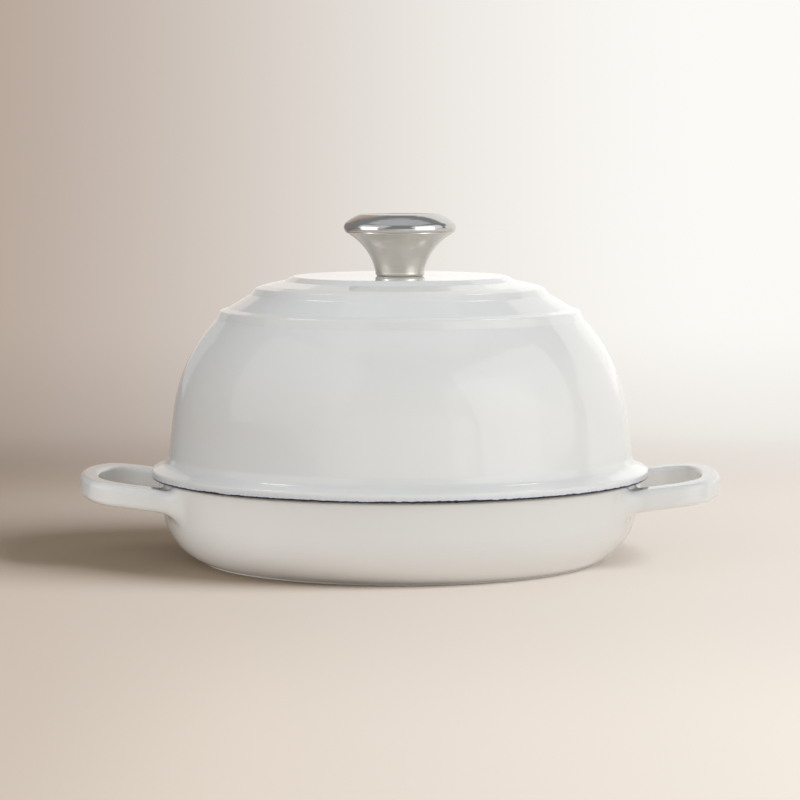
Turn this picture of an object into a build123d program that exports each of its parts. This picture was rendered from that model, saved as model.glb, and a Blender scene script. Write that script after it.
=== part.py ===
from build123d import *

import os
from math import cos, hypot, radians, sin

# Bread cloche: a domed cast lid on a shallow cast pan with two loop handles, and a steel knob
# held by one screw from inside the lid. Millimetres, Z up. The pan stands on Z = 0, the origin
# is on the axis under the foot, and the handles lie along X.

# Pan
PAN_HEIGHT = 43.0
PAN_RIM_RADIUS = 123.2
PAN_FLARE = 2.9
PAN_SHOULDER_DROP = 5.4
PAN_WALL = 4.8
PAN_FLOOR = 5.0
PAN_INNER_CORNER = 24.0
PAN_RIM_OUTER_FILLET = 1.8
PAN_RIM_INNER_FILLET = 1.0
FOOT_INSET = 22.8
FOOT_HEIGHT = 0.9
FOOT_STEP = 0.4
FOOT_FILLET = 0.3
FOOT_RING_WIDTH = 11.0
FOOT_RECESS = 1.0
RIB_COUNT = 3
RIB_WIDTH = 3.2
RIB_HEIGHT = 1.2
RIB_FILLET = 0.9
RIB_FIRST_SHARE = 0.3
RIB_LAST_SHARE = 0.85

# Loop handles, cast with the pan. They rise outwards from just under its rim.
HANDLE_REACH = 39.8
HANDLE_WIDTH = 103.6
HANDLE_THICKNESS = 11.0
HANDLE_TILT = 7.3
HANDLE_BELOW_RIM = 2.1
HANDLE_TIP_CURVE = 110.0
HANDLE_CORNER = 18.0
HANDLE_ROOT = 30.0
HANDLE_SINK = 0.3
HANDLE_FLARE = 16.0
HANDLE_ROOT_FILLET = 2.0
HANDLE_OUTER_EDGE = 4.0
HANDLE_INNER_EDGE = 2.4
LOOP_TIP_WALL = 9.5
LOOP_ARM = 15.2
LOOP_CORNER = 15.0
LOOP_FLARE = 6.0

# Lid. Its heights are rises above the seam, where it rests on the pan's rim.
LID_OVERHANG = 2.9
LID_RIM_EDGE = 3.9
LID_RIM_SLOPE_WIDTH = 6.7
LID_RIM_SLOPE_RISE = 6.6
LID_RIM_UNDER_FILLET = 0.7
LID_RIM_UPPER_FILLET = 1.4
LID_RIM_NECK_FILLET = 4.0
LID_WALL = 4.2
LID_WALL_INSET = 8.5
LID_WALL_FOOT_RISE = 10.6
LID_SPRING_INSET = 11.05
LID_SPRING_SHARE = 0.326
LID_RISE = 101.2
LID_CROWN_THICKNESS = 6.0
LID_CROWN_SHARE = 0.5
LIP_DEPTH = 4.0
LIP_WALL = 3.0
LIP_CLEARANCE = 1.2
LIP_FILLET = 0.9
PAD_RADIUS = 12.0
PAD_HEIGHT = 1.0
PAD_FILLET = 0.6

# Stepped rings on the lid, from the outside in: foot, crest and ledge. Each corner is a share
# of the radius at which the dome springs, and a share of the lid's rise.
OUTER_RING_SHARES = ((0.810, 0.786), (0.793, 0.829), (0.758, 0.842))
MIDDLE_RING_SHARES = ((0.657, 0.910), (0.634, 0.942), (0.595, 0.956))
TOP_DISC_SHARES = ((0.509, 0.977), (0.471, 1.0))
RING_FOOT_FILLET = 2.2
RING_CREST_FILLET = 1.6
DISC_CREST_FILLET = 3.0

# Knob. Its heights are rises above the lid's top disc.
KNOB_HEIGHT = 31.2
KNOB_FOOT_RADIUS = 12.5
KNOB_FOOT_RISE = 2.0
KNOB_FOOT_FILLET = 1.5
KNOB_FLARE_LEAN = 10.0
KNOB_FLARE_RADIUS = 25.4
KNOB_FLARE_RISE = 20.85
KNOB_SEAM_RADIUS = 27.4
KNOB_SEAM_RISE = 23.4
KNOB_EDGE = 1.4
KNOB_SHEET = 1.2
CAP_STEP = 0.2
CAP_RIM_RADIUS = 28.5
CAP_RIM_RISE = 25.7
CAP_SHOULDER_RADIUS = 27.4
CAP_SHOULDER_RISE = 27.7
CAP_TOP_RADIUS = 20.3
CAP_THICKNESS = 2.4
CAP_SPIGOT_DEPTH = 0.5
CAP_SPIGOT_WALL = 1.5
CAP_SPIGOT_FIT = 0.1
CAP_DISH_RADIUS = 17.5
CAP_DISH_DEPTH = 0.4

# Threaded hub inside the knob. Its bore stands for the thread at the screw's major radius.
HUB_RADIUS = 5.4
HUB_NECK_RADIUS = 6.4
HUB_COLLAR_RADIUS = 9.0
HUB_COLLAR_HEIGHT = 2.0
HUB_HEIGHT = 18.0
HUB_FIT = 0.05
HUB_CHAMFER = 0.6
THREAD_RADIUS = 3.0
THREAD_CLEARANCE = 0.06
THREAD_DEPTH = 15.0

# Knob screw and its toothed washer
SCREW_LENGTH = 18.0
SCREW_TIP_CHAMFER = 0.7
SCREW_HEAD_RADIUS = 5.8
SCREW_HEAD_HEIGHT = 3.4
SCREW_HEAD_FILLET = 1.9
CROSS_LENGTH = 6.4
CROSS_WIDTH = 1.3
CROSS_DEPTH = 1.9
SCREW_HOLE_CLEARANCE = 0.4
WASHER_THICKNESS = 0.9
WASHER_RADIUS = 5.5
WASHER_CLEARANCE = 0.2
WASHER_TEETH = 12
NOTCH_WIDTH = 0.9
NOTCH_DEPTH = 1.2

OVERRUN = 5.0

# Sizes that several pieces share
floor_top = FOOT_RECESS + PAN_FLOOR
foot_radius = PAN_RIM_RADIUS - FOOT_INSET
pan_inner_radius = PAN_RIM_RADIUS - PAN_WALL
pan_shoulder_radius = PAN_RIM_RADIUS - PAN_FLARE
pan_shoulder_height = PAN_HEIGHT - HANDLE_BELOW_RIM - HANDLE_THICKNESS - PAN_SHOULDER_DROP
pan_lean = PAN_FLARE / (PAN_HEIGHT - pan_shoulder_height)
floor_radius = pan_inner_radius - (PAN_HEIGHT - floor_top) * pan_lean
lid_rim_radius = PAN_RIM_RADIUS + LID_OVERHANG
lid_spring_radius = lid_rim_radius - LID_SPRING_INSET
lid_spring_rise = LID_SPRING_SHARE * LID_RISE
lip_radius = pan_inner_radius - LIP_CLEARANCE
lip_foot_radius = lip_radius - LIP_DEPTH * pan_lean
pad_rise = LID_RISE - LID_CROWN_THICKNESS - PAD_HEIGHT
head_seat = PAN_HEIGHT + pad_rise - WASHER_THICKNESS

# Half-section planes, each with its own zero of height
pan_plane = Plane.XZ
lid_plane = Plane.XZ.shift_origin((0, 0, PAN_HEIGHT))
knob_plane = Plane.XZ.shift_origin((0, 0, PAN_HEIGHT + LID_RISE))


def corner(shape, point):
    """The vertex of a half section that is nearest to a point."""
    return shape.vertices().sort_by_distance(point)[0]


def ring_corners(shares):
    """The corners of a stepped ring, as radius and rise above the seam."""
    return [(radius * lid_spring_radius, rise * LID_RISE) for radius, rise in shares]


def inside_wall(radius, rise):
    """A point one wall in from the dome, towards the middle of the circle that it springs from."""
    keep = 1 - LID_WALL / hypot(radius, rise - lid_spring_rise)
    return (keep * radius, lid_spring_rise + keep * (rise - lid_spring_rise))


# One loop handle, cut from a slab that rises outwards and ends inside the pan's wall
tilt = radians(HANDLE_TILT)
handle_plane = Plane(
    origin=(PAN_RIM_RADIUS, 0, PAN_HEIGHT - HANDLE_BELOW_RIM - HANDLE_THICKNESS / 2),
    x_dir=(cos(tilt), 0, sin(tilt)),
    z_dir=(-sin(tilt), 0, cos(tilt)),
)
handle_normal = Axis((0, 0, 0), handle_plane.z_dir)
handle_slab = HANDLE_ROOT + HANDLE_REACH + OVERRUN
outwards = (Align.MIN, Align.CENTER)

# The slab's inner edge stays inside the leaning wall at the slab's underside
handle_lean = pan_lean * (HANDLE_BELOW_RIM + HANDLE_THICKNESS) + sin(tilt) * HANDLE_THICKNESS / 2
handle_inner_radius = PAN_RIM_RADIUS - handle_lean - HANDLE_SINK

with BuildPart() as handle:
    with BuildSketch(handle_plane) as outline:
        with Locations((HANDLE_REACH - HANDLE_TIP_CURVE, 0)):
            Circle(HANDLE_TIP_CURVE)
        with Locations((-HANDLE_ROOT, 0)):
            Rectangle(handle_slab, HANDLE_WIDTH, align=outwards, mode=Mode.INTERSECT)
        fillet(outline.vertices().sort_by(Axis.X)[-2:], HANDLE_CORNER)
        with Locations((-PAN_RIM_RADIUS, 0)):
            Circle(handle_inner_radius)
        fillet(outline.vertices().filter_by(lambda v: -HANDLE_ROOT < v.X < 0), HANDLE_FLARE)
        with Locations((-HANDLE_ROOT, 0)):
            Rectangle(
                handle_slab,
                HANDLE_WIDTH + 2 * HANDLE_FLARE,
                align=outwards,
                mode=Mode.INTERSECT,
            )
    extrude(amount=HANDLE_THICKNESS / 2, both=True)
    with BuildSketch(handle_plane) as gap:
        gap_width = HANDLE_WIDTH - 2 * LOOP_ARM
        with Locations((HANDLE_REACH - HANDLE_TIP_CURVE, 0)):
            Circle(HANDLE_TIP_CURVE - LOOP_TIP_WALL)
        with Locations((-HANDLE_ROOT, 0)):
            Rectangle(handle_slab, gap_width, align=outwards, mode=Mode.INTERSECT)
        with Locations((-PAN_RIM_RADIUS, 0)):
            Circle(handle_inner_radius, mode=Mode.SUBTRACT)
        fillet(gap.vertices().sort_by(Axis.X)[-2:], LOOP_CORNER)
        fillet(gap.vertices().sort_by(Axis.X)[:2], LOOP_FLARE)
    extrude(amount=HANDLE_THICKNESS, both=True, mode=Mode.SUBTRACT)
    flats = handle.faces().filter_by(handle_normal)
    fillet([edge for flat in flats for edge in flat.inner_wires()[0].edges()], HANDLE_INNER_EDGE)
    flats = handle.faces().filter_by(handle_normal)
    outer_edges = ShapeList([edge for flat in flats for edge in flat.outer_wire().edges()])
    fillet(
        outer_edges.filter_by(lambda e: e.center().X > PAN_RIM_RADIUS - HANDLE_ROOT / 2),
        HANDLE_OUTER_EDGE,
    )

# Pan: a turned casting with a handle on each side, then hollowed
with BuildPart() as base_pan:
    with BuildSketch(pan_plane) as section:
        with BuildLine():
            shoulder = (pan_shoulder_radius, pan_shoulder_height)
            wall = Line((PAN_RIM_RADIUS, PAN_HEIGHT), shoulder)
            side = TangentArc(shoulder, (foot_radius + FOOT_STEP, FOOT_HEIGHT), tangent=wall % 1)
            Polyline(
                side @ 1,
                (foot_radius, FOOT_HEIGHT),
                (foot_radius, 0),
                (foot_radius - FOOT_RING_WIDTH, 0),
                (foot_radius - FOOT_RING_WIDTH - FOOT_RECESS, FOOT_RECESS),
                (0, FOOT_RECESS),
                (0, PAN_HEIGHT),
                wall @ 0,
            )
        make_face()
        fillet(corner(section, (foot_radius, 0)), FOOT_FILLET)
        fillet(corner(section, (PAN_RIM_RADIUS, PAN_HEIGHT)), PAN_RIM_OUTER_FILLET)
    revolve(axis=Axis.Z)
    for loop in (handle.part, handle.part.mirror(Plane.YZ)):
        add(loop)
        fillet(base_pan.edges(Select.NEW), HANDLE_ROOT_FILLET)

    with BuildSketch(pan_plane) as hollow:
        Polygon(
            (0, floor_top),
            (floor_radius, floor_top),
            (pan_inner_radius, PAN_HEIGHT),
            (pan_inner_radius, PAN_HEIGHT + OVERRUN),
            (0, PAN_HEIGHT + OVERRUN),
            align=None,
        )
        fillet(corner(hollow, (floor_radius, floor_top)), PAN_INNER_CORNER)
    revolve(axis=Axis.Z, mode=Mode.SUBTRACT)
    rim_face = base_pan.faces().filter_by(Axis.Z).sort_by(Axis.Z)[-1]
    fillet(rim_face.inner_wires()[0].edges(), PAN_RIM_INNER_FILLET)

    with BuildSketch(pan_plane) as ribs:
        flat_radius = floor_radius - PAN_INNER_CORNER
        for step in range(RIB_COUNT):
            share = RIB_FIRST_SHARE + (RIB_LAST_SHARE - RIB_FIRST_SHARE) * step / (RIB_COUNT - 1)
            with Locations((share * flat_radius, floor_top)):
                Rectangle(RIB_WIDTH, 2 * RIB_HEIGHT)
        fillet(ribs.vertices().group_by(Axis.Y)[-1], RIB_FILLET)
    revolve(axis=Axis.Z)

# Lid
with BuildPart() as dome_lid:
    with BuildSketch(lid_plane) as section:
        rings = [ring_corners(shares) for shares in (OUTER_RING_SHARES, MIDDLE_RING_SHARES)]
        disc = ring_corners(TOP_DISC_SHARES)
        rim_neck = (lid_rim_radius - LID_RIM_SLOPE_WIDTH, LID_RIM_SLOPE_RISE)
        wall_foot = (lid_rim_radius - LID_WALL_INSET, LID_WALL_FOOT_RISE)
        spring = (lid_spring_radius, lid_spring_rise)
        lip_inner_foot = (lip_foot_radius - LIP_WALL, -LIP_DEPTH)
        inner_foot = (lid_rim_radius - LID_WALL_INSET - LID_WALL, LID_WALL_FOOT_RISE)
        inner_spring = (lid_spring_radius - LID_WALL, lid_spring_rise)
        inner_knees = [inside_wall(*ring[0]) for ring in rings]
        crown_rise = LID_RISE - LID_CROWN_THICKNESS
        crown = (LID_CROWN_SHARE * lid_spring_radius, crown_rise)
        with BuildLine():
            Polyline(
                inner_foot,
                lip_inner_foot,
                (lip_foot_radius, -LIP_DEPTH),
                (lip_radius, 0),
                (lid_rim_radius, 0),
                (lid_rim_radius, LID_RIM_EDGE),
                rim_neck,
                wall_foot,
            )
            wall = Line(wall_foot, spring)
            TangentArc(spring, rings[0][0], tangent=wall % 1)
            Polyline(*rings[0], *rings[1], *disc, (0, LID_RISE), (0, crown_rise), crown)
            inner_wall = Line(inner_foot, inner_spring)
            lower_dome = TangentArc(inner_spring, inner_knees[0], tangent=inner_wall % 1)
            upper_dome = TangentArc(inner_knees[0], inner_knees[1], tangent=lower_dome % 1)
            TangentArc(inner_knees[1], crown, tangent=upper_dome % 1)
        make_face()
        for foot, crest, ledge in rings:
            fillet(corner(section, foot), RING_FOOT_FILLET)
            fillet(corner(section, crest), RING_CREST_FILLET)
            fillet(corner(section, ledge), RING_FOOT_FILLET)
        disc_foot, disc_crest = disc
        fillet(corner(section, disc_foot), RING_FOOT_FILLET)
        fillet(corner(section, disc_crest), DISC_CREST_FILLET)
        fillet(corner(section, (lid_rim_radius, 0)), LID_RIM_UNDER_FILLET)
        fillet(corner(section, (lid_rim_radius, LID_RIM_EDGE)), LID_RIM_UPPER_FILLET)
        fillet(corner(section, rim_neck), LID_RIM_NECK_FILLET)
        fillet(corner(section, wall_foot), LID_RIM_NECK_FILLET)
        fillet(section.vertices().group_by(Axis.Y)[0], LIP_FILLET)
    revolve(axis=Axis.Z)
    with BuildSketch(lid_plane) as pad:
        with Locations((0, pad_rise)):
            Rectangle(PAD_RADIUS, PAD_HEIGHT + LID_CROWN_THICKNESS / 2, align=Align.MIN)
        fillet(corner(pad, (PAD_RADIUS, pad_rise)), PAD_FILLET)
    revolve(axis=Axis.Z)
    with Locations((0, 0, PAN_HEIGHT + LID_RISE)):
        Hole(THREAD_RADIUS + SCREW_HOLE_CLEARANCE)

# Knob shell: one skin from the hub's neck out over the foot and up the flare to the seam
with BuildPart() as knob_shell:
    with BuildSketch(knob_plane):
        with BuildLine() as skin:
            lean = radians(KNOB_FLARE_LEAN)
            Polyline(
                (HUB_NECK_RADIUS + HUB_FIT, 0),
                (KNOB_FOOT_RADIUS, 0),
                (KNOB_FOOT_RADIUS, KNOB_FOOT_RISE),
            )
            TangentArc(
                (KNOB_FOOT_RADIUS, KNOB_FOOT_RISE),
                (KNOB_FLARE_RADIUS, KNOB_FLARE_RISE),
                tangent=(sin(lean), cos(lean)),
            )
            Polyline(
                (KNOB_FLARE_RADIUS, KNOB_FLARE_RISE),
                (KNOB_SEAM_RADIUS, KNOB_SEAM_RISE - KNOB_EDGE),
                (KNOB_SEAM_RADIUS, KNOB_SEAM_RISE),
            )
            fillet(corner(skin, (KNOB_FOOT_RADIUS, 0)), KNOB_FOOT_FILLET)
            offset(amount=KNOB_SHEET, side=Side.LEFT)
        make_face()
    revolve(axis=Axis.Z)

# Knob cap: a thick polished cup that closes the shell
with BuildPart() as knob_cap:
    with BuildSketch(knob_plane) as section:
        spigot_radius = KNOB_SEAM_RADIUS - KNOB_SHEET - CAP_SPIGOT_FIT
        dish_top = KNOB_HEIGHT - CAP_DISH_DEPTH
        under = dish_top - CAP_THICKNESS
        with BuildLine():
            bead = ThreePointArc(
                (KNOB_SEAM_RADIUS + CAP_STEP, KNOB_SEAM_RISE),
                (CAP_RIM_RADIUS, CAP_RIM_RISE),
                (CAP_SHOULDER_RADIUS, CAP_SHOULDER_RISE),
            )
            TangentArc(bead @ 1, (CAP_TOP_RADIUS, KNOB_HEIGHT), tangent=bead % 1)
            Polyline(
                (CAP_TOP_RADIUS, KNOB_HEIGHT),
                (CAP_DISH_RADIUS, KNOB_HEIGHT),
                (CAP_DISH_RADIUS - CAP_DISH_DEPTH, dish_top),
                (0, dish_top),
                (0, under),
                (CAP_TOP_RADIUS, under),
                (spigot_radius - CAP_SPIGOT_WALL, CAP_RIM_RISE),
                (spigot_radius - CAP_SPIGOT_WALL, KNOB_SEAM_RISE - CAP_SPIGOT_DEPTH),
                (spigot_radius, KNOB_SEAM_RISE - CAP_SPIGOT_DEPTH),
                (spigot_radius, KNOB_SEAM_RISE),
                bead @ 0,
            )
        make_face()
    revolve(axis=Axis.Z)

# Knob hub: its neck fills the shell's foot, and its collar rests inside on the sheet
with BuildPart() as knob_hub:
    with BuildSketch(knob_plane) as section:
        bore_radius = THREAD_RADIUS + THREAD_CLEARANCE
        collar_top = KNOB_SHEET + HUB_COLLAR_HEIGHT
        Polygon(
            (bore_radius, 0),
            (HUB_NECK_RADIUS, 0),
            (HUB_NECK_RADIUS, KNOB_SHEET),
            (HUB_COLLAR_RADIUS, KNOB_SHEET),
            (HUB_COLLAR_RADIUS, collar_top),
            (HUB_RADIUS, collar_top),
            (HUB_RADIUS, HUB_HEIGHT),
            (0, HUB_HEIGHT),
            (0, THREAD_DEPTH),
            (bore_radius, THREAD_DEPTH),
            align=None,
        )
        chamfer(corner(section, (HUB_RADIUS, HUB_HEIGHT)), HUB_CHAMFER)
        chamfer(corner(section, (HUB_COLLAR_RADIUS, collar_top)), HUB_CHAMFER)
    revolve(axis=Axis.Z)

# Knob screw: a pan head inside the lid, its shank up through the lid into the hub
head_bottom = head_seat - SCREW_HEAD_HEIGHT
with BuildPart() as knob_screw:
    with BuildSketch(Plane.XY.offset(head_bottom)):
        Circle(SCREW_HEAD_RADIUS)
    extrude(amount=SCREW_HEAD_HEIGHT)
    fillet(knob_screw.edges().group_by(Axis.Z)[0], SCREW_HEAD_FILLET)
    with BuildSketch(Plane.XY.offset(head_seat)):
        Circle(THREAD_RADIUS)
    extrude(amount=SCREW_LENGTH)
    chamfer(knob_screw.edges().group_by(Axis.Z)[-1], SCREW_TIP_CHAMFER)
    with BuildSketch(Plane.XY.offset(head_bottom)):
        Rectangle(CROSS_LENGTH, CROSS_WIDTH)
        Rectangle(CROSS_WIDTH, CROSS_LENGTH)
    extrude(amount=CROSS_DEPTH, mode=Mode.SUBTRACT)

# Toothed washer between the screw's head and the pad inside the lid
with BuildPart() as lock_washer:
    with BuildSketch(Plane.XY.offset(head_seat)):
        Circle(WASHER_RADIUS)
        Circle(THREAD_RADIUS + WASHER_CLEARANCE, mode=Mode.SUBTRACT)
        with PolarLocations(WASHER_RADIUS, WASHER_TEETH):
            Rectangle(2 * NOTCH_DEPTH, NOTCH_WIDTH, mode=Mode.SUBTRACT)
    extrude(amount=WASHER_THICKNESS)

pieces = {
    "base_pan": base_pan,
    "dome_lid": dome_lid,
    "knob_cap": knob_cap,
    "knob_shell": knob_shell,
    "knob_hub": knob_hub,
    "knob_screw": knob_screw,
    "lock_washer": lock_washer,
}
os.makedirs("parts", exist_ok=True)
for name, piece in pieces.items():
    piece.part.label = name
    export_step(piece.part, f"parts/{name}.step")
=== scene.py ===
"""Looks for an enamelled bread cloche: a domed lid with a steel knob, on a pan with two loop handles."""

from cmath import phase, rect
from itertools import product
from math import ceil, cos, pi, radians, sin

import bmesh
import bpy
import numpy as np
from bpy.props import FloatProperty, FloatVectorProperty, IntProperty, PointerProperty
from bpy.types import Operator, Panel, PropertyGroup
from mathutils import Matrix, Vector


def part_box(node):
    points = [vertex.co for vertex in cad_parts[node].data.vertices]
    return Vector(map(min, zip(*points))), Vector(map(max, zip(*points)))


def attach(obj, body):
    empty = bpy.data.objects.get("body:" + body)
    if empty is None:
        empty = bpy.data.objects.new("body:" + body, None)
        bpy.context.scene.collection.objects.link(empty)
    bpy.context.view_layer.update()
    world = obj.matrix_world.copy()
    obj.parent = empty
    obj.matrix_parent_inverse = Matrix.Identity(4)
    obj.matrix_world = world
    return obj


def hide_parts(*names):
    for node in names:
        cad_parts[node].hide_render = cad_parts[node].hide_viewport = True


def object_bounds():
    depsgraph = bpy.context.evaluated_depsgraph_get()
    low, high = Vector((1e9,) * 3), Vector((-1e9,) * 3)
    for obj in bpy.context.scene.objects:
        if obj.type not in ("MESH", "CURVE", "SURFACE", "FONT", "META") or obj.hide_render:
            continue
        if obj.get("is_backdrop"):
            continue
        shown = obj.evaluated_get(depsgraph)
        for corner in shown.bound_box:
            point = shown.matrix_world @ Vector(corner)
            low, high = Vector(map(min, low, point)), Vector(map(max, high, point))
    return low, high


bl_info = {
    "name": "Bread cloche",
    "version": (1, 0, 0),
    "blender": (4, 5, 0),
    "location": "View3D > Sidebar > Cloche",
    "description": "Builds an enamelled bread cloche with its knob, and a plain studio around it",
    "category": "Add Mesh",
}

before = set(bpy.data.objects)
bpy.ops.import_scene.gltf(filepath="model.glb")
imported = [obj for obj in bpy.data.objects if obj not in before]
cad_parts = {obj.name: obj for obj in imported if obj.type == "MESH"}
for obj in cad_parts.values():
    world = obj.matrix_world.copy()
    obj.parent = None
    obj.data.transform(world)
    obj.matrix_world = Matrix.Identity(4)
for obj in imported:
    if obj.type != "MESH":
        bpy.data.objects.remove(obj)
cad_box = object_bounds()

# Lengths are in metres. The seam is the plane in which the lid rests on the pan.
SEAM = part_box("base_pan")[0].z + 0.043
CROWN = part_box("knob_shell")[0].z

# Pan
FOOT_HEIGHT = 0.0009
FOOT_STEP = 0.0004
FOOT_FILLET = 0.0003
FOOT_RING_WIDTH = 0.011
FOOT_RECESS = 0.001
PAN_FLOOR = 0.005
PAN_FLARE = 0.0029
PAN_SHOULDER = 0.0245
PAN_INNER_CORNER = 0.024
PAN_RIM_OUTER_FILLET = 0.0018
PAN_RIM_INNER_FILLET = 0.001
RIB_COUNT = 3
RIB_WIDTH = 0.0032
RIB_FILLET = 0.0009
RIB_FIRST_SHARE = 0.3
RIB_LAST_SHARE = 0.85

# Loop handles
HANDLE_BELOW_RIM = 0.0021
HANDLE_TIP_CURVE = 0.110
HANDLE_CORNER = 0.018
HANDLE_OUTER_EDGE = 0.0032
HANDLE_INNER_EDGE = 0.0024
LOOP_TIP_WALL = 0.0095
LOOP_ARM = 0.0152
LOOP_CORNER = 0.015
RIM_CLEAR = 0.0005
RIM_CLEAR_SLOPE = 0.8
SLOPE_STEP = 0.00002
SKIN_PROUD = 0.00002
# The skin dips under the wall this far past the fillet, over a width that grows with the fillet
SKIN_DIP = (0.0002, 0.0005, 0.1)
# The skin ends at this many fillets plus a length from the handle
SKIN_END = (1.1, 0.0008)
SKIN_ROUNDS = 4
# How far the handles' skin reaches: into the pan, below the seam, past the tip and above the seam
HANDLE_ROOM = (0.026, 0.032, 0.003, 0.006)

# Lid
LID_RIM_EDGE = 0.0039
LID_RIM_SLOPE = (0.0067, 0.0066)
LID_RIM_FILLETS = (0.0007, 0.0014)
LID_WALL_FILLET = 0.004
LID_WALL_INSET = 0.0085
LID_WALL_FOOT = 0.0106
LID_SPRING_INSET = 0.01105
LID_SPRING_SHARE = 0.326
LID_CROWN_THICKNESS = 0.006
LID_CROWN_SHARE = 0.5
LIP_DEPTH = 0.004
LIP_WALL = 0.003
LIP_CLEARANCE = 0.0012
LIP_FILLET = 0.0009
PAD = (0.012, 0.001)
PAD_FILLET = 0.0006
SCREW_HOLE = 0.0034
# Corners of the stepped rings: share of the dome's radius, share of its rise, and fillet
RINGS = (
    ((0.810, 0.786, 0.0022), (0.793, 0.829, 0.0016), (0.758, 0.842, 0.0022)),
    ((0.657, 0.910, 0.0022), (0.634, 0.942, 0.0016), (0.595, 0.956, 0.0022)),
    ((0.509, 0.977, 0.0022), (0.471, 1.0, 0.003)),
)

# Knob, as rises above the lid's top disc
# A pair is a radius and a rise, but the dish is a radius and a depth
KNOB_FOOT = (0.0125, 0.002)
KNOB_FOOT_FILLET = 0.0015
KNOB_FLARE_TOP = (0.0254, 0.02085)
KNOB_SEAM = (0.0276, 0.0225)
KNOB_EDGE = 0.0003
KNOB_SHEET = 0.0012
KNOB_BORE = 0.00645
CAP_STEP = 0.00005
CAP_RIM = (0.0285, 0.0250)
CAP_SHOULDER = (0.0273, 0.0272)
CAP_TOP_RADIUS = 0.0203
CAP_THICKNESS = 0.0024
CAP_DISH = (0.0175, 0.0001)
SPIGOT_GAP = 0.0001
SPIGOT_WALL = 0.0015
SPIGOT_DEPTH = 0.0005

# Screw
HEAD_RADIUS = 0.0058
HEAD_HEIGHT = 0.0034
HEAD_FILLET = 0.0019
HEAD_SEAT_FILLET = 0.0002
# The head's top closes under the shank: a share of the shank's radius, and a rise
HEAD_NECK = (0.9, 0.0004)
HEAD_SEGMENTS = 96
# The crossed recess: reach, width and depth, then how its floor narrows and its mouth widens
CROSS = (0.0064, 0.0013, 0.0019)
CROSS_FLOOR = 0.8
CROSS_MOUTH = (1.05, 0.001)
# The recess stays within this share of the head's radius, and a level face has this normal
CROSS_SHARE = 0.6
FLAT_NORMAL = 0.999
THREAD_SEGMENTS = 40
THREAD_ROWS = 10
# Where a groove's flank starts and ends, in half pitches from its bottom
THREAD_FLANK = (0.15, 0.9)
THREAD_FADE = 1.5
TIP_TAPER = 0.0007

# Finishes. A grain, cloud or wave has so many cells a metre, and a relief is a depth.
MIDDLE = (0.3, 0.7)
EDGE_GRAIN = 330.0
EDGE_WANDER = 45.0
LID_EDGE_DROP = 0.0001
LID_EDGE_DEPTHS = (0.0011, 0.0008)
PAN_EDGE_DEPTH = 0.0008
PAN_RIM_REACH = (0.1234, 0.1240)
PAN_RIM_COVER = 0.01
COVER_BAND = 0.0001
LID_HAZE = 0.0026
# Width of the band under the pan's rim: thin enamel with a painted warm reflection of the floor
PAN_LIP_GLINT_WIDTH = 0.0010
HAZE_ROUGHNESS = 0.2
HAZE_SPECKS = 1500.0
SPECK_RANGE = (0.42, 0.62)
ENAMEL_CLOUD = 22.0
ENAMEL_SHEEN = 60.0
ENAMEL_WAVES = 70.0
ENAMEL_PITS = 700.0
ENAMEL_SHADE = 0.993
ENAMEL_ROUGHNESS = (0.34, 0.40)
ENAMEL_RELIEF = 0.00003
PIT_SHARE = 0.01
COAT_ROUGHNESS = 0.04
LINING_GRAIN = 1400.0
LINING_CLOUD = 40.0
LINING_WAVES = 260.0
LINING_SPECK = (0.07, 0.07, 0.07)
LINING_ROUGHNESS = (0.36, 0.48)
LINING_RELIEF = 0.00006
STEEL_CLOUD = 160.0
TURNING_LINES = (60.0, 60.0, 3000.0)
# Roughness, and depth of the lines
SATIN = (0.22, 0.000001)
POLISH = (0.12, 0.0000003)
PLATING_CLOUD = 420.0
PLATING_GRAIN = 2600.0
PLATING_SHADE = 0.72
PLATING_ROUGHNESS = (0.26, 0.42)
PLATING_RELIEF = 0.00001

# Pieces that some of the lamps light alone
PAN_PIECES = ("pan_body", "pan_handles")
ALL_BUT_KNOB = ("lid_dome", "floor", *PAN_PIECES)
# Soft boxes: name, place, width and height, watts, and the pieces lit where not all are
LAMPS = (
    ("right_box", (1.35, -0.55, 0.80), (1.8, 1.4), 5.6, ()),
    ("side_front_box", (1.5, -1.3, 0.7), (1.8, 1.6), 3.7, ()),
    ("left_box", (-1.20, -0.60, 0.90), (1.9, 1.5), 4.0, ()),
    ("top_box", (0.0, 0.0, 1.60), (1.6, 1.6), 2.4, ()),
    ("front_box", (0.0, -2.20, 1.00), (3.0, 1.8), 3.9, ALL_BUT_KNOB),
    ("low_front_box", (0.0, -2.3, 0.35), (3.4, 0.9), 3.8, ALL_BUT_KNOB),
    ("left_low_box", (-1.7, -0.25, 0.50), (2.4, 0.9), 3.4, PAN_PIECES),
    ("left_bounce", (-0.155, -0.085, -0.06), (0.08, 0.08), 0.025, PAN_PIECES),
    ("left_streak", (-0.52, 0.36, 1.09), (0.26, 0.20), 0.8, ("lid_dome",)),
    ("right_streak", (0.50, 0.38, 1.09), (0.26, 0.20), 0.8, ("lid_dome",)),
    ("back_glow", (0.0, 0.70, 0.26), (1.2, 0.30), 0.30, ("lid_dome",)),
    ("left_window", (-0.326, -0.152, 0.175), (0.26, 0.31), 0.34, ("knob_top",)),
    ("right_window", (0.284, -0.222, 0.175), (0.28, 0.31), 0.36, ("knob_top",)),
    ("left_band", (-0.326, -0.152, 0.085), (0.10, 0.16), 0.35, ("knob_flare",)),
    ("right_band", (0.284, -0.222, 0.085), (0.10, 0.16), 0.35, ("knob_flare",)),
)
# Lamps that only the pieces they light can shade, and lamps that no gloss mirrors
UNSHADED = ("left_band", "right_band", "left_bounce")
UNMIRRORED = ("left_bounce",)
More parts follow.
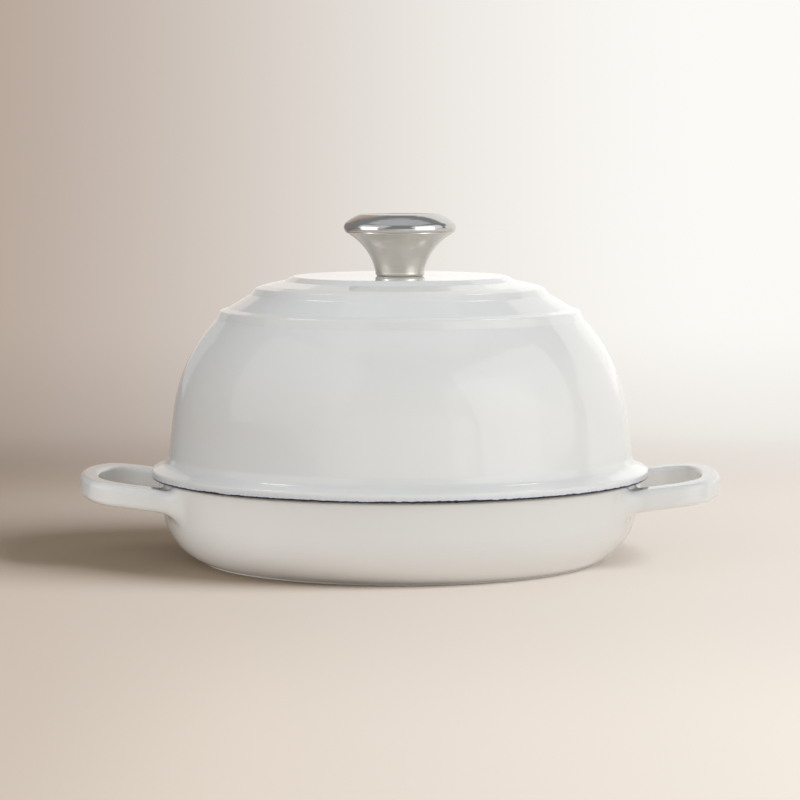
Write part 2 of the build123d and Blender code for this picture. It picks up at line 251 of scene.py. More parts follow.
# The light that falls on the floor alone and gives the cloche its shadow
FLOOR_LIGHT_FROM = (2.40, -0.825, 1.27)
FLOOR_LIGHT = 9.8
FLOOR_LIGHT_SPREAD = radians(42)
FLOOR_LIGHT_COLOUR = (0.672, 0.784, 1.0)
LAMP_AIM = 0.155
SENSOR_WIDTH = 36
AIR = 0.45
AIR_COLOUR = (0.94, 0.98, 1.02)
AIR_LOST_IN_GLOSS = 0.35

# Floor and backdrop, one sheet: its front edge, where it starts to bend up, and its sizes
SHEET_FRONT = -3.0
SHEET_BACK = 0.62
SHEET_BEND = 0.35
SHEET_TOP = 1.1
SHEET_HALF = 3.2
BEND_STEPS = 24
# Where the sheet's colour and its painted light and shade change: from and to, along X, Y or Z
ACROSS_FLOOR = (-0.36, 0.36)
FAR_FLOOR = (-0.10, 0.50)
FAR_FLOOR_SIDE = (-0.36, 0.10)
NEAR_FLOOR = (-0.50, -0.12)
NEAR_FLOOR_SIDE = (-0.15, -0.05)
FOREGROUND = (-1.0, -0.65)
AWAY_FLOOR = (0.20, 0.60)
ACROSS_WALL = (-0.42, 0.26)
WALL_SIDE = (-0.44, -0.335)
WALL_FOOT = (0.0, 0.07)
WALL_STANDS = (0.30, 0.90)
# How much brighter or darker the sheet is painted there: painted light on the floor in front of the
# cloche, painted shade far off and at the backdrop's foot, and darker beyond the view in front
NEAR_PAINTED_LIGHT = 0.11
AWAY_PAINTED_SHADE = 0.08
FOREGROUND_LOSS = 0.09
WALL_FOOT_SHADE = 0.91

# How finely outlines are divided, and what counts as one point
LONGEST_RUN = 0.003
LONGEST_ARC = 0.002
RUN_GUARD = 0.00025
WIDEST_TURN = radians(7)
TURNED_MERGE = 0.000002
THREAD_MERGE = 0.000001


def length(name, text, default):
    """A length that the user may change."""
    return FloatProperty(name=name, description=text, default=default, unit="LENGTH", precision=5)


def tint(name, text, default):
    """A colour that the user may change."""
    return FloatVectorProperty(
        name=name, description=text, default=default, subtype="COLOR", size=3, min=0, max=1
    )


class PanSizes(PropertyGroup):
    """Sizes of the pan."""

    rim_radius: length("Rim radius", "Radius of the pan's outer wall at the seam", 0.1232)
    wall: length("Wall", "Thickness of the pan's wall", 0.0048)
    foot_radius: length("Foot radius", "Outer radius of the ring that the pan stands on", 0.1004)
    rib_height: length("Rib height", "Height of the rings that lift the loaf off the floor", 0.0012)
    segments: IntProperty(name="Segments", description="Faces round the pan", default=256, min=32)


class HandleSizes(PropertyGroup):
    """Sizes of the loop handles."""

    reach: length("Reach", "How far a handle stands out from the pan's rim", 0.0398)
    width: length("Width", "Width over a handle's two arms", 0.1036)
    thickness: length("Thickness", "Thickness of a handle", 0.011)
    tilt: FloatProperty(
        name="Tilt", description="Rise of a handle towards its tip", default=radians(7.3), subtype="ANGLE"
    )
    outer_blend: length("Outer blend", "Fillet from an arm's outer side to the wall", 0.010)
    inner_blend: length("Inner blend", "Fillet from an arm's inner side to the wall", 0.006)
    upper_blend: length("Upper blend", "Fillet from an arm's top to the wall", 0.0014)
    lower_blend: length("Lower blend", "Fillet from an arm's underside to the wall", 0.007)
    grain: length("Mesh grain", "Size of the faces on the handles", 0.0009)


class LidSizes(PropertyGroup):
    """Sizes of the domed lid."""

    overhang: length("Overhang", "How far the lid's rim stands out over the pan's", 0.0029)
    rise: length("Rise", "Height of the lid's top disc above the seam", 0.1012)
    wall: length("Wall", "Thickness of the dome", 0.0042)
    segments: IntProperty(name="Segments", description="Faces round the lid", default=216, min=32)


class KnobSizes(PropertyGroup):
    """Sizes of the knob and its screw."""

    height: length("Height", "Height of the knob above the lid", 0.0312)
    lean: FloatProperty(
        name="Lean", description="Lean of the flare above the foot", default=radians(10), subtype="ANGLE"
    )
    segments: IntProperty(name="Segments", description="Faces round the knob", default=160, min=32)
    screw_radius: length("Screw radius", "Outer radius of the screw's thread", 0.003)
    screw_length: length("Screw length", "Length of the screw under its head", 0.018)
    thread_pitch: length("Thread pitch", "Rise of the thread in one turn", 0.001)
    thread_depth: length("Thread depth", "Depth of the thread's grooves", 0.00055)


class Finishes(PropertyGroup):
    """Colours of the cloche."""

    enamel: tint("Enamel", "Gloss enamel outside", (0.80, 0.805, 0.79))
    lining: tint("Lining", "Satin enamel inside the pan and lid", (0.017, 0.017, 0.018))
    edge: tint("Edge", "Dark enamel that shows at the lid's lowest edge", (0.008, 0.010, 0.018))
    haze: tint("Haze", "Thin enamel beside the lid's dark edge", (0.58, 0.64, 0.77))
    # Thin enamel and a painted warm reflection of the floor on the pan's lip
    lip: tint("Lip", "Thin enamel on the pan's lip", (0.74, 0.66, 0.54))
    cap: tint("Cap", "Polished steel of the knob's cap", (0.63, 0.62, 0.605))
    shell: tint("Shell", "Satin steel of the knob's flare", (0.76, 0.725, 0.67))
    fastener: tint("Fastener", "Plated steel of the screw and washer", (0.58, 0.58, 0.56))


class Studio(PropertyGroup):
    """The floor, backdrop, lamps and camera."""

    distance: length("Distance", "Camera's distance in front of the cloche's axis", 1.67625)
    height: length("Height", "Camera's height above the floor", 0.22567)
    pitch: FloatProperty(
        name="Pitch", description="How far the camera looks down", default=radians(4.932), subtype="ANGLE"
    )
    lens: FloatProperty(name="Lens", description="Focal length in millimetres", default=148.93, min=1)
    # The floor's beige is painted darker at the left as shade and lighter at the right as light, with
    # painted shade far off at the left
    floor_shaded_left: tint("Floor left", "Floor at the left", (0.345, 0.262, 0.187))
    floor_lit_right: tint("Floor right", "Floor at the right", (0.525, 0.445, 0.350))
    floor_far_shade: tint("Floor back", "Floor at the far left", (0.178, 0.124, 0.084))
    # The backdrop glows at these colours: painted shade at the left and beyond the view at the left,
    # painted light at the right
    wall_side_shade: tint("Backdrop side", "Backdrop beyond the view at the left", (0.27, 0.27, 0.265))
    wall_shaded_left: tint("Backdrop left", "Backdrop at the left", (0.455, 0.36, 0.30))
    wall_lit_right: tint("Backdrop right", "Backdrop at the right", (0.97, 0.955, 0.92))


class Wire:
    """An output of a node. Arithmetic on it adds the Math nodes that work it out."""

    def __init__(self, graph, socket):
        self.graph = graph
        self.socket = socket

    def out(self, name):
        """Another output of the same node."""
        return Wire(self.graph, self.socket.node.outputs[name])

    def __add__(self, other):
        return self.graph.math("ADD", self, other)

    __radd__ = __add__

    def __sub__(self, other):
        return self.graph.math("SUBTRACT", self, other)

    def __rsub__(self, other):
        return self.graph.math("SUBTRACT", other, self)

    def __mul__(self, other):
        return self.graph.math("MULTIPLY", self, other)

    __rmul__ = __mul__

    def __truediv__(self, other):
        return self.graph.math("DIVIDE", self, other)

    def __rtruediv__(self, other):
        return self.graph.math("DIVIDE", other, self)


class Graph:
    """Adds nodes to a material's tree or to a tree that makes geometry."""

    def __init__(self, tree):
        self.tree = tree

    def node(self, kind, settings=None, sockets=None, output=0):
        """A node of a kind: its settings are set first, then the values or links of its sockets."""
        made = self.tree.nodes.new(kind)
        for name, value in (settings or {}).items():
            setattr(made, name, value)
        for name, value in (sockets or {}).items():
            if isinstance(value, Wire):
                self.tree.links.new(value.socket, made.inputs[name])
            else:
                made.inputs[name].default_value = value
        return Wire(self, made.outputs[output]) if made.outputs else made

    def math(self, operation, *values):
        """The result of a Math node's operation on values."""
        return self.node("ShaderNodeMath", {"operation": operation}, dict(enumerate(values)))

    def mix(self, share, first, second):
        """A colour between two others."""
        colours = [value if isinstance(value, Wire) else (*value, 1) for value in (first, second)]
        return self.node(
            "ShaderNodeMix", {"data_type": "RGBA"}, {0: share, 6: colours[0], 7: colours[1]}, output=2
        )

    def ramp(self, value, low, high, start=0.0, end=1.0):
        """A value that eases from start to end as another goes from low to high."""
        return self.node(
            "ShaderNodeMapRange",
            {"interpolation_type": "SMOOTHSTEP"},
            {"Value": value, "From Min": low, "From Max": high, "To Min": start, "To Max": end},
        )

    def noise(self, place, scale, detail=2.0):
        """A noise value around 0.5, at a scale in cells a metre."""
        return self.node("ShaderNodeTexNoise", None, {"Vector": place, "Scale": scale, "Detail": detail})

    def stretched(self, place, scale):
        """A place stretched along each axis."""
        return self.node("ShaderNodeMapping", None, {"Vector": place, "Scale": scale})

    def scaled(self, colour, factor):
        """A colour made brighter or darker by a factor."""
        return self.node("ShaderNodeVectorMath", {"operation": "SCALE"}, {0: colour, "Scale": factor})

    def surface(self, sockets):
        """The shader of a solid surface, from the values or links of its sockets."""
        return self.node("ShaderNodeBsdfPrincipled", None, sockets)

    def bump(self, height, distance):
        """A normal that follows a height, whose unit stands for a distance."""
        return self.node("ShaderNodeBump", None, {"Height": height, "Distance": distance})


def new_material(name):
    """An empty material, its graph, the object's coordinates and a function that closes it."""
    material = bpy.data.materials.new(name)
    material.use_nodes = True
    tree = material.node_tree
    tree.nodes.clear()
    graph = Graph(tree)
    place = graph.node("ShaderNodeTexCoord", output="Object")

    def close(shader):
        graph.node("ShaderNodeOutputMaterial", None, {"Surface": shader})
        return material

    return graph, place, close


def shaded(colour, factor):
    """A plain colour made brighter or darker by a factor."""
    return [channel * factor for channel in colour]


def lid_edge_depth(graph, place):
    """How far up the lid a place is from the uneven line where its gloss enamel ends."""
    height = graph.node("ShaderNodeSeparateXYZ", None, {0: place}, output="Z")
    grain, wander = LID_EDGE_DEPTHS
    ragged = graph.noise(place, EDGE_GRAIN, 4.0) * grain + graph.noise(place, EDGE_WANDER) * wander
    return height - (SEAM - LID_EDGE_DROP) - ragged


def pan_edge_depth(graph, place):
    """How far down the pan's rim a place is from the line where its gloss enamel ends."""
    parts = graph.node("ShaderNodeSeparateXYZ", None, {0: place})
    level = graph.math("SQRT", parts * parts + parts.out("Y") * parts.out("Y"))
    ragged = graph.noise(place, EDGE_GRAIN, 3.0) * PAN_EDGE_DEPTH
    beyond_rim = graph.ramp(level, *PAN_RIM_REACH, 0.0, PAN_RIM_COVER)
    return SEAM - parts.out("Z") - ragged + beyond_rim


def gloss_enamel(name, finishes, edge_depth, haze, haze_width):
    """Gloss enamel that thins out and gives way to dark enamel at its edge. The band beside the edge
    takes a tint: on the pan's lip, a painted warm reflection of the floor on thin enamel.
    """
    graph, place, close = new_material(name)
    cloud = graph.noise(place, ENAMEL_CLOUD)
    colour = graph.mix(graph.ramp(cloud, *MIDDLE), finishes.enamel, shaded(finishes.enamel, ENAMEL_SHADE))
    roughness = graph.ramp(graph.noise(place, ENAMEL_SHEEN), *MIDDLE, *ENAMEL_ROUGHNESS)
    depth = edge_depth(graph, place)
    specks = graph.ramp(graph.noise(place, HAZE_SPECKS, 3.0), *SPECK_RANGE)
    hazy = graph.ramp(depth, 0.0, haze_width, 1.0, 0.0)
    colour = graph.mix(hazy * (0.5 + 0.5 * specks), colour, haze)
    covered = graph.ramp(depth, -COVER_BAND, COVER_BAND)
    colour = graph.mix(covered, finishes.edge, colour)
    roughness = roughness + graph.ramp(depth, 0.0, haze_width, HAZE_ROUGHNESS, 0.0)
    waves = graph.noise(place, ENAMEL_WAVES, 0.0)
    pits = graph.noise(place, ENAMEL_PITS, 1.0)
    sockets = {
        "Base Color": colour,
        "Roughness": roughness,
        "Normal": graph.bump(waves + PIT_SHARE * pits, ENAMEL_RELIEF),
        "Coat Weight": covered,
        "Coat Roughness": COAT_ROUGHNESS,
    }
    return close(graph.surface(sockets))


def satin_lining(name, finishes):
    """Satin black enamel, slightly grained, as it is inside the pan and lid."""
    graph, place, close = new_material(name)
    grain = graph.noise(place, LINING_GRAIN, 3.0)
    cloud = graph.noise(place, LINING_CLOUD, 3.0)
    lighter = [channel * 1.7 + 0.004 for channel in finishes.lining]
    colour = graph.mix(graph.ramp(cloud, 0.35, 0.7), finishes.lining, lighter)
    colour = graph.mix(graph.ramp(grain, 0.62, 0.8) * 0.5, colour, LINING_SPECK)
    roughness = graph.ramp(cloud, *MIDDLE, *LINING_ROUGHNESS)
    normal = graph.bump(grain + 2.0 * graph.noise(place, LINING_WAVES), LINING_RELIEF)
    return close(graph.surface({"Base Color": colour, "Roughness": roughness, "Normal": normal}))


def turned_steel(name, colour, rough, line_depth):
    """Steel with the faint lines that turning and polishing leave round it."""
    graph, place, close = new_material(name)
    lines = graph.noise(graph.stretched(place, TURNING_LINES), 1.0, 2.0)
    cloud = graph.noise(place, STEEL_CLOUD, 3.0)
    shade = graph.mix(graph.ramp(lines, *MIDDLE), colour, shaded(colour, 0.96))
    shade = graph.mix(graph.ramp(cloud, 0.35, 0.7) * 0.5, shade, shaded(colour, 1.06))
    roughness = graph.ramp(lines, 0.25, 0.75, rough * 0.92, rough * 1.08)
    normal = graph.bump(lines, line_depth)
    sockets = {"Base Color": shade, "Metallic": 1.0, "Roughness": roughness, "Normal": normal}
    return close(graph.surface(sockets))


def plated_steel(name, colour):
    """Plated fastener steel, a little uneven."""
    graph, place, close = new_material(name)
    cloud = graph.noise(place, PLATING_CLOUD, 4.0)
    shade = graph.mix(graph.ramp(cloud, 0.3, 0.72), colour, shaded(colour, PLATING_SHADE))
    roughness = graph.ramp(cloud, *MIDDLE, *PLATING_ROUGHNESS)
    normal = graph.bump(graph.noise(place, PLATING_GRAIN), PLATING_RELIEF)
    sockets = {"Base Color": shade, "Metallic": 1.0, "Roughness": roughness, "Normal": normal}
    return close(graph.surface(sockets))


def finish(name, make, *values):
    """A material by its name, made the first time that it is asked for."""
    return bpy.data.materials.get(name) or make(name, *values)


def pan_enamel(finishes):
    """The gloss enamel that the pan's body and its handles share."""
    # The band by the pan's dark edge takes the lip colour: a painted warm reflection of the floor on thin
    # enamel
    return finish("Pan enamel", gloss_enamel, finishes, pan_edge_depth, finishes.lip, PAN_LIP_GLINT_WIDTH)


def arc(start, end, heading):
    """Points after start on the arc that leaves it along a heading and comes to end."""
    heading = heading / abs(heading)
    half = phase((end - start) / heading)
    width = abs(end - start) / sin(half)
    count = max(ceil(abs(width * half) / LONGEST_ARC), ceil(abs(2 * half) / WIDEST_TURN), 2)
    turns = [half * (step + 1) / count for step in range(count)]
    return [start + heading * width * sin(turn) * rect(1, turn) for turn in turns]


def arc_heading(first, through, last):
    """The heading at the first of three points on a circle."""
    bend = (last - first) / (through - first)
    middle = first + (through - first) * (bend - abs(bend) ** 2) / (2j * bend.imag)
    return (1j if bend.imag > 0 else -1j) * (first - middle)


class Outline:
    """A half section walked from point to point. A point is its radius plus its height times 1j."""

    def __init__(self, radius, height):
        self.points = [complex(radius, height)]
        self.fillets = [0.0]
        self.heading = 1

    def to(self, radius, height, fillet=0.0):
        """A straight run to a point, which may have its corner rounded."""
        point = complex(radius, height)
        self.heading = point - self.points[-1]
        self.points.append(point)
        self.fillets.append(fillet)
        return self

    def bend_to(self, radius, height, fillet=0.0, heading=None):
        """A tangent arc to a point, or one that leaves along a heading of its own."""
        start = self.points[-1]
        heading = self.heading if heading is None else heading
        end = complex(radius, height)
        self.points += arc(start, end, heading)
        self.fillets += [0.0] * (len(self.points) - len(self.fillets))
        self.fillets[-1] = fillet
        self.heading = heading * rect(1, 2 * phase((end - start) / heading))
        return self

    def rounded(self):
        """The outline's points, with its corners rounded and its long runs divided."""
        path = [self.points[0]]
        for index in range(1, len(self.points)):
            point = self.points[index]
            fillet = self.fillets[index]
            if not fillet:
                path.append(point)
                continue
            back = self.points[index - 1] - point
            on = self.points[index + 1] - point
            half = abs(phase(on / back)) / 2
            reach = fillet * cos(half) / sin(half)
            start = point + reach * back / abs(back)
            path.append(start)
            path += arc(start, point + reach * on / abs(on), -back)
        return divided(path)


def divided(path):
    """A path whose long runs get points near their ends and at even steps between."""
    out = [path[0]]
    for start, end in zip(path, path[1:]):
        run = abs(end - start)
        if run < RUN_GUARD / 5:
            continue
        if run > 4 * RUN_GUARD:
            guard = RUN_GUARD / run
            count = max(1, ceil(run / LONGEST_RUN))
            shares = [guard + (1 - 2 * guard) * step / count for step in range(count + 1)]
            out += [start + (end - start) * share for share in shares]
        out.append(end)
    return out


def thickened(path, sheet):
    """A closed loop: a path, then the path moved to its left by a sheet's thickness, walked back."""
    moved = []
    for index, point in enumerate(path):
        ahead = path[min(index + 1, len(path) - 1)] - path[max(index - 1, 0)]
        moved.append(point + 1j * sheet * ahead / abs(ahead))
    return path + moved[::-1] + [path[0]]


def set_inputs(modifier, values):
    """Sets a geometry modifier's inputs by the names that its tree gives them."""
    for item in modifier.node_group.interface.items_tree:
        if item.item_type == "SOCKET" and item.in_out == "INPUT" and item.name in values:
            modifier[item.identifier] = values[item.name]


def new_tree(name, inputs):
    """A tree for a geometry modifier, its graph and a function that gives an input by name."""
    tree = bpy.data.node_groups.new(name, "GeometryNodeTree")
    for title, kind in inputs:
        tree.interface.new_socket(title, in_out="INPUT", socket_type=f"NodeSocket{kind}")
    tree.interface.new_socket("Piece", in_out="OUTPUT", socket_type="NodeSocketGeometry")
    graph = Graph(tree)
    given = graph.node("NodeGroupInput")
    return tree, graph, given.out


def placed_round(graph, radius, angle, height):
    """A position from a radius, an angle about Z and a height."""
    return graph.node(
        "ShaderNodeCombineXYZ",
        None,
        {
            "X": radius * graph.math("COSINE", angle),
            "Y": radius * graph.math("SINE", angle),
            "Z": height,
        },
    )


def numbered_sheet(graph, rows, segments):
    """A flat sheet of rows of points, with the row and column of each point."""
    across = segments + 1
    sheet = graph.node("GeometryNodeMeshGrid", None, {"Vertices X": rows, "Vertices Y": across})
    index = graph.node("GeometryNodeInputIndex")
    row = graph.math("FLOOR", (index + 0.5) / across)
    return sheet, row, index - row * across


def shaped(graph, sheet, position, merge_distance):
    """A sheet moved to its place, shaded smooth, with its seam and poles closed."""
    moved = graph.node("GeometryNodeSetPosition", None, {"Geometry": sheet, "Position": position})
    smooth = graph.node("GeometryNodeSetShadeSmooth", None, {0: moved})
    merged = graph.node("GeometryNodeMergeByDistance", None, {0: smooth, "Distance": merge_distance})
    return graph.node("GeometryNodeRealizeInstances", None, {0: merged})


def turning_tree():
    """The tree that turns a half section about Z and gives its first and later rows their finishes."""
    tree, graph, given = new_tree(
        "Turned piece",
        (
            ("Half section", "Geometry"),
            ("Segments", "Int"),
            ("Inside from row", "Int"),
            ("Merge distance", "Float"),
            ("Outside finish", "Material"),
            ("Inside finish", "Material"),
        ),
    )
    section = given("Half section")
    rows = graph.node("GeometryNodeAttributeDomainSize", None, {0: section}, output="Point Count")
    sheet, row, column = numbered_sheet(graph, rows, given("Segments"))
    point = graph.node(
        "GeometryNodeSampleIndex",
        {"data_type": "FLOAT_VECTOR", "domain": "POINT"},
        {"Geometry": section, "Value": graph.node("GeometryNodeInputPosition"), "Index": row},
    )
    parts = graph.node("ShaderNodeSeparateXYZ", None, {0: point})
    angle = column * (2 * pi) / given("Segments")
    position = placed_round(graph, parts, angle, parts.out("Z"))
    kept = graph.tree.nodes.new("GeometryNodeCaptureAttribute")
    kept.capture_items.new("FLOAT", "Inner row")
    inner = graph.math("GREATER_THAN", row, given("Inside from row") - 0.5)
    tree.links.new(sheet.socket, kept.inputs[0])
    tree.links.new(inner.socket, kept.inputs["Inner row"])
    captured = Wire(graph, kept.outputs["Inner row"])
    turned = shaped(graph, Wire(graph, kept.outputs[0]), position, given("Merge distance"))
    outside = graph.node(
        "GeometryNodeSetMaterial", None, {"Geometry": turned, "Material": given("Outside finish")}
    )
    inside = graph.node(
        "GeometryNodeSetMaterial",
        None,
        {
            "Geometry": outside,
            "Selection": graph.math("GREATER_THAN", captured, 0.75),
            "Material": given("Inside finish"),
        },
    )
    graph.node("NodeGroupOutput", None, {0: inside})
    return tree


def thread_tree():
    """The tree that makes a threaded shank, whose groove follows a helix round Z."""
    tree, graph, given = new_tree(
        "Threaded shank",
        (
            ("Radius", "Float"),
            ("Depth", "Float"),
            ("Pitch", "Float"),
            ("Length", "Float"),
            ("Start height", "Float"),
            ("Rows a turn", "Int"),
            ("Segments", "Int"),
            ("Finish", "Material"),
        ),
    )
    turns = given("Length") / given("Pitch")
    rows = graph.math("ROUND", turns * given("Rows a turn")) + 1
    sheet, row, column = numbered_sheet(graph, rows, given("Segments"))
    climb = given("Length") * row / (rows - 1)
    angle = column * (2 * pi) / given("Segments")
    wave = graph.math("FRACT", climb / given("Pitch") - column / given("Segments") + 1)
    ridge = graph.math("ABSOLUTE", wave - 0.5) * 2
    cut = graph.ramp(ridge, *THREAD_FLANK)
    fade = graph.ramp(climb, 0.0, given("Pitch") * THREAD_FADE)
    tip = graph.ramp(climb, given("Length") - given("Pitch"), given("Length"), 0.0, TIP_TAPER)
    radius = given("Radius") - given("Depth") * (1 - cut) * fade - tip
    closing = graph.math("LESS_THAN", row, rows - 1.5)
    height = climb + given("Start height")
    position = placed_round(graph, radius * closing, angle, height)
    shank = shaped(graph, sheet, position, THREAD_MERGE)
    done = graph.node("GeometryNodeSetMaterial", None, {"Geometry": shank, "Material": given("Finish")})
    graph.node("NodeGroupOutput", None, {0: done})
    return tree


def shared_tree(name, make):
    """A geometry tree by its name, made the first time that it is asked for."""
    return bpy.data.node_groups.get(name) or make()


def new_piece(name, mesh=None):
    """An object in the scene, at the origin."""
    piece = bpy.data.objects.new(name, mesh or bpy.data.meshes.new(name))
    bpy.context.scene.collection.objects.link(piece)
    return piece


def grown(piece, tree, values):
    """Runs a geometry tree on a piece and leaves the result as its plain mesh."""
    modifier = piece.modifiers.new("Shape", "NODES")
    modifier.node_group = tree
    set_inputs(modifier, values)
    bake_modifiers(piece)


def bake_modifiers(piece):
    """Turns what a piece's modifiers make into its own mesh, with its faces outwards."""
    graph = bpy.context.evaluated_depsgraph_get()
    mesh = bpy.data.meshes.new_from_object(
        piece.evaluated_get(graph), preserve_all_data_layers=True, depsgraph=graph
    )
    piece.modifiers.clear()
    old = piece.data
    piece.data = mesh
    bpy.data.meshes.remove(old)
    mesh.name = piece.name
    if mesh_volume(mesh) < 0:
        mesh.flip_normals()


def mesh_volume(mesh):
    """The volume inside a closed mesh, below zero where its faces point inwards."""
    form = bmesh.new()
    form.from_mesh(mesh)
    volume = form.calc_volume(signed=True)
    form.free()
    return volume


def turned_piece(name, outside, inside, segments, outside_finish, inside_finish):
    """A piece turned about Z from the two parts of its half section."""
    path = outside + [point for point in inside if abs(point - outside[-1]) > RUN_GUARD / 50]
    section = bpy.data.meshes.new(name)
    section.from_pydata([(point.real, 0, point.imag) for point in path], [], [])
    piece = new_piece(name, section)
    grown(
        piece,
        shared_tree("Turned piece", turning_tree),
        {
            "Segments": segments,
            "Inside from row": len(outside) - 1,
            "Merge distance": TURNED_MERGE,
            "Outside finish": outside_finish,
            "Inside finish": inside_finish,
        },
    )
    return piece


def declare(piece, body, slot, *nodes):
    """Puts a piece on its body's empty and hides the CAD parts that it stands for. Its slot is not used.
    """
    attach(piece, body)
    if nodes:
        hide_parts(*nodes)


def rounded_both(first, second, fillet):
    """Distance from what two shapes share, with the edge between them rounded."""
    first = first + fillet
    second = second + fillet
    outside = np.hypot(np.maximum(first, 0), np.maximum(second, 0))
    return np.minimum(np.maximum(first, second), 0) + outside - fillet


def blended_either(first, second, fillet):
    """Distance from two shapes that run into each other through a hollow fillet."""
    hollow = np.hypot(np.maximum(fillet - first, 0), np.maximum(fillet - second, 0))
    return np.maximum(fillet, np.minimum(first, second)) - hollow


def tongue(along, across, reach, half_width, curve, corner):
    """Distance in plan from a tongue with a curved tip and rounded corners."""
    inner_curve = curve - corner
    inner_half = half_width - corner
    middle = reach - curve
    knee = middle + (inner_curve**2 - inner_half**2) ** 0.5
    spread = np.hypot(along - middle, across)
    side = np.abs(across)
    at_corner = (along > knee) & (side * inner_curve > inner_half * spread)
    inside = np.maximum(spread - inner_curve, side - inner_half)
    return np.where(at_corner, np.hypot(along - knee, side - inner_half), inside) - corner


class HandleForm:
    """The right handle and the pan's wall around it, as distances."""

    def __init__(self, pan, handle):
        self.pan = pan
        self.handle = handle
        foot = complex(pan.foot_radius + FOOT_STEP, FOOT_HEIGHT)
        self.shoulder = complex(pan.rim_radius - PAN_FLARE, PAN_SHOULDER)
        along = complex(pan.rim_radius, SEAM) - self.shoulder
        self.along = along / abs(along)
        self.outwards = self.along / 1j
        chord = foot - self.shoulder
        drop = (chord * self.outwards.conjugate()).real
        self.bend = -abs(chord) ** 2 / (2 * drop)
        self.middle = self.shoulder - self.bend * self.outwards

    def wall(self, points):
        """Distance from the pan's side."""
        place = np.hypot(points[:, 0], points[:, 1]) + 1j * points[:, 2]
        rise = ((place - self.shoulder) * np.conj(self.along)).real
        flat = ((place - self.shoulder) * np.conj(self.outwards)).real
        return np.where(rise > 0, flat, np.abs(place - self.middle) - self.bend)

    def local(self, points):
        """Places along, across and above the handle's middle plane."""
        root = SEAM - HANDLE_BELOW_RIM - self.handle.thickness / 2
        out = points[:, 0] - self.pan.rim_radius
        up = points[:, 2] - root
        c, s = cos(self.handle.tilt), sin(self.handle.tilt)
        return out * c + up * s, points[:, 1], up * c - out * s

    def loop(self, points):
        """Distance from the handle's loop."""
        along, across, above = self.local(points)
        half = self.handle.width / 2
        slab = np.abs(above) - self.handle.thickness / 2
        plan = tongue(along, across, self.handle.reach, half, HANDLE_TIP_CURVE, HANDLE_CORNER)
        gap = tongue(
            along,
            across,
            self.handle.reach - LOOP_TIP_WALL,
            half - LOOP_ARM,
            HANDLE_TIP_CURVE - LOOP_TIP_WALL,
            LOOP_CORNER,
        )
        return np.maximum(
            rounded_both(plan, slab, HANDLE_OUTER_EDGE), rounded_both(-gap, slab, HANDLE_INNER_EDGE)
        )

    def blend(self, points):
        """The fillet between handle and wall, which differs round an arm."""
        _, across, above = self.local(points)
        side = (np.abs(across) - (self.handle.width - LOOP_ARM) / 2) * self.handle.thickness / LOOP_ARM
        parts = (
            (self.handle.outer_blend, side),
            (self.handle.inner_blend, -side),
            (self.handle.upper_blend, above),
            (self.handle.lower_blend, -above),
        )
        weights = [np.maximum(part, 0) ** 2 for _, part in parts]
        total = sum(weights) + 1e-12
        return sum(size * weight for (size, _), weight in zip(parts, weights)) / total

    def distance(self, points):
        """Distance from the handle and wall in one. Past the fillet it dips under the wall."""
        blend = self.blend(points)
        loop = self.loop(points)
        start, width, widening = SKIN_DIP
        past = np.clip((loop - blend - start) / (width + widening * blend), 0, 1)
        lift = SKIN_PROUD * (1 - 2 * past * past * (3 - 2 * past))
        joined = blended_either(loop, self.wall(points) - lift, blend)
        spread = np.hypot(points[:, 0], points[:, 1]) - self.pan.rim_radius - RIM_CLEAR
        top = points[:, 2] - SEAM - RIM_CLEAR_SLOPE * np.maximum(spread, 0)
        return rounded_both(joined, top, PAN_RIM_OUTER_FILLET)

    def slope(self, points):
        """How the distance grows at each point."""
        changes = [
            self.distance(points + move) - self.distance(points - move)
            for move in np.eye(3) * SLOPE_STEP
        ]
        return np.stack(changes, axis=1) / (2 * SLOPE_STEP)

    def drawn(self, points):
        """Points moved onto the zero of the distance."""
        slope = self.slope(points)
        size = (slope**2).sum(axis=1, keepdims=True) + 1e-9
        return points - self.distance(points)[:, None] * slope / size

    def kept(self, points):
        """Which points belong to the handle or to its fillet."""
        blend = self.blend(points)
        return self.loop(points) < SKIN_END[0] * blend + SKIN_END[1]


def skin(form, low, high, grain):
    """Quads over the zero of a form's distance, with their corners drawn onto it."""
    axes = [np.arange(a, b, grain) for a, b in zip(low, high)]
    grid = np.stack(np.meshgrid(*axes, indexing="ij"), axis=-1)
    inside = (form.distance(grid.reshape(-1, 3)) < 0).reshape(grid.shape[:3])
    shape = np.array(inside.shape) - 1
    count = np.zeros(shape, int)
    for i, j, k in product((0, 1), repeat=3):
        count += inside[i : i + shape[0], j : j + shape[1], k : k + shape[2]]
    crossed = (count > 0) & (count < 8)
    number = np.full(shape, -1)
    number[crossed] = np.arange(crossed.sum())
    points = grid[:-1, :-1, :-1][crossed] + grain / 2
    quads = []
    for axis in range(3):
        near = np.delete(inside, -1, axis)
        far = np.delete(inside, 0, axis)
        across = np.eye(3, dtype=int)[(axis + 1) % 3]
        up = np.eye(3, dtype=int)[(axis + 2) % 3]
        places = np.argwhere(near != far)
        fits = np.all((places - across - up >= 0) & (places < shape), axis=1)
        places = places[fits]
        ring = [places - across - up, places - up, places, places - across]
        quad = np.stack([number[tuple(corner.T)] for corner in ring], axis=1)
        leaving = near[tuple(places.T)]
        quads.append(np.where(leaving[:, None], quad, quad[:, ::-1]))
    quads = np.concatenate(quads)
    for _ in range(SKIN_ROUNDS):
        points = form.drawn(relaxed(points, quads))
    return form.drawn(points), quads


def relaxed(points, quads):
    """Points moved to the middle of their neighbours."""
    total = np.zeros_like(points)
    count = np.zeros(len(points))
    for side in range(4):
        a, b = quads[:, side], quads[:, (side + 1) % 4]
        np.add.at(total, a, points[b])
        np.add.at(total, b, points[a])
        np.add.at(count, a, 1)
        np.add.at(count, b, 1)
    return total / np.maximum(count, 1)[:, None]


